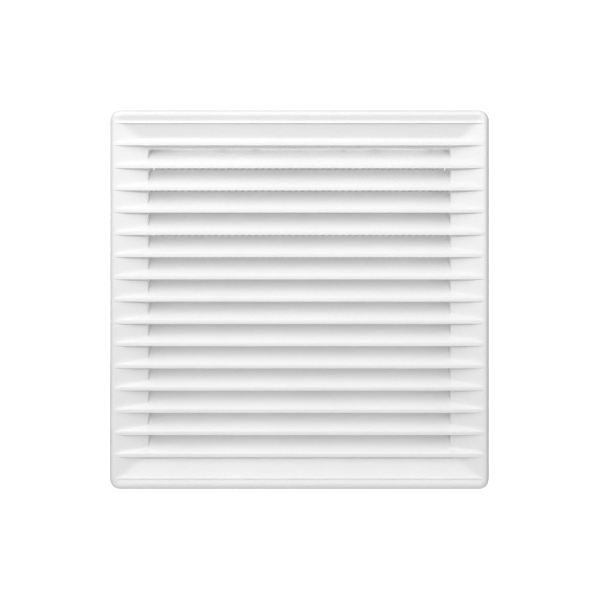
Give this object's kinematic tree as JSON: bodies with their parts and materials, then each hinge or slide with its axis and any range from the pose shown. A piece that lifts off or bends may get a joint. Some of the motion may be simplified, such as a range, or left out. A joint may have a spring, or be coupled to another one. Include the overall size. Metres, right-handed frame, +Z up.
{
  "type": "louvred air grille",
  "caption": "Square white plastic wall grille with fixed sloping louvres in a dished cover, an insect screen behind them, and a screwed wall frame that the cover pushes onto.",
  "frame": {"origin": "centre of the wall face, on the axis of the duct opening", "axes": "+Y into the wall, -Y the face towards the room, +Z up (louvre noses point down), +X to the right seen from the room"},
  "size_m": [0.171, 0.0259, 0.171],
  "materials": {
    "cover_plastic": "satin moulded white",
    "screen_plastic": "fine matt moulded white",
    "frame_plastic": "plain moulded white",
    "screw_steel": "bright zinc plated"
  },
  "bodies": {
    "wall_frame": {"wall_frame": "frame_plastic", "wall_screw_1": "screw_steel", "wall_screw_2": "screw_steel", "wall_screw_3": "screw_steel", "wall_screw_4": "screw_steel"},
    "cover": {"front_frame": "cover_plastic", "louvre_blade_01": "cover_plastic", "louvre_blade_02": "cover_plastic", "louvre_blade_03": "cover_plastic", "louvre_blade_04": "cover_plastic", "louvre_blade_05": "cover_plastic", "louvre_blade_06": "cover_plastic", "louvre_blade_07": "cover_plastic", "louvre_blade_08": "cover_plastic", "louvre_blade_09": "cover_plastic", "louvre_blade_10": "cover_plastic", "louvre_blade_11": "cover_plastic", "louvre_blade_12": "cover_plastic", "louvre_blade_13": "cover_plastic", "insect_screen": "screen_plastic"}
  },
  "joints": [
    {"name": "cover_pull_off", "type": "slide", "parent": "wall_frame", "child": "cover", "axis": [0, -1, 0], "range_m": [0, 0.03]}
  ]
}
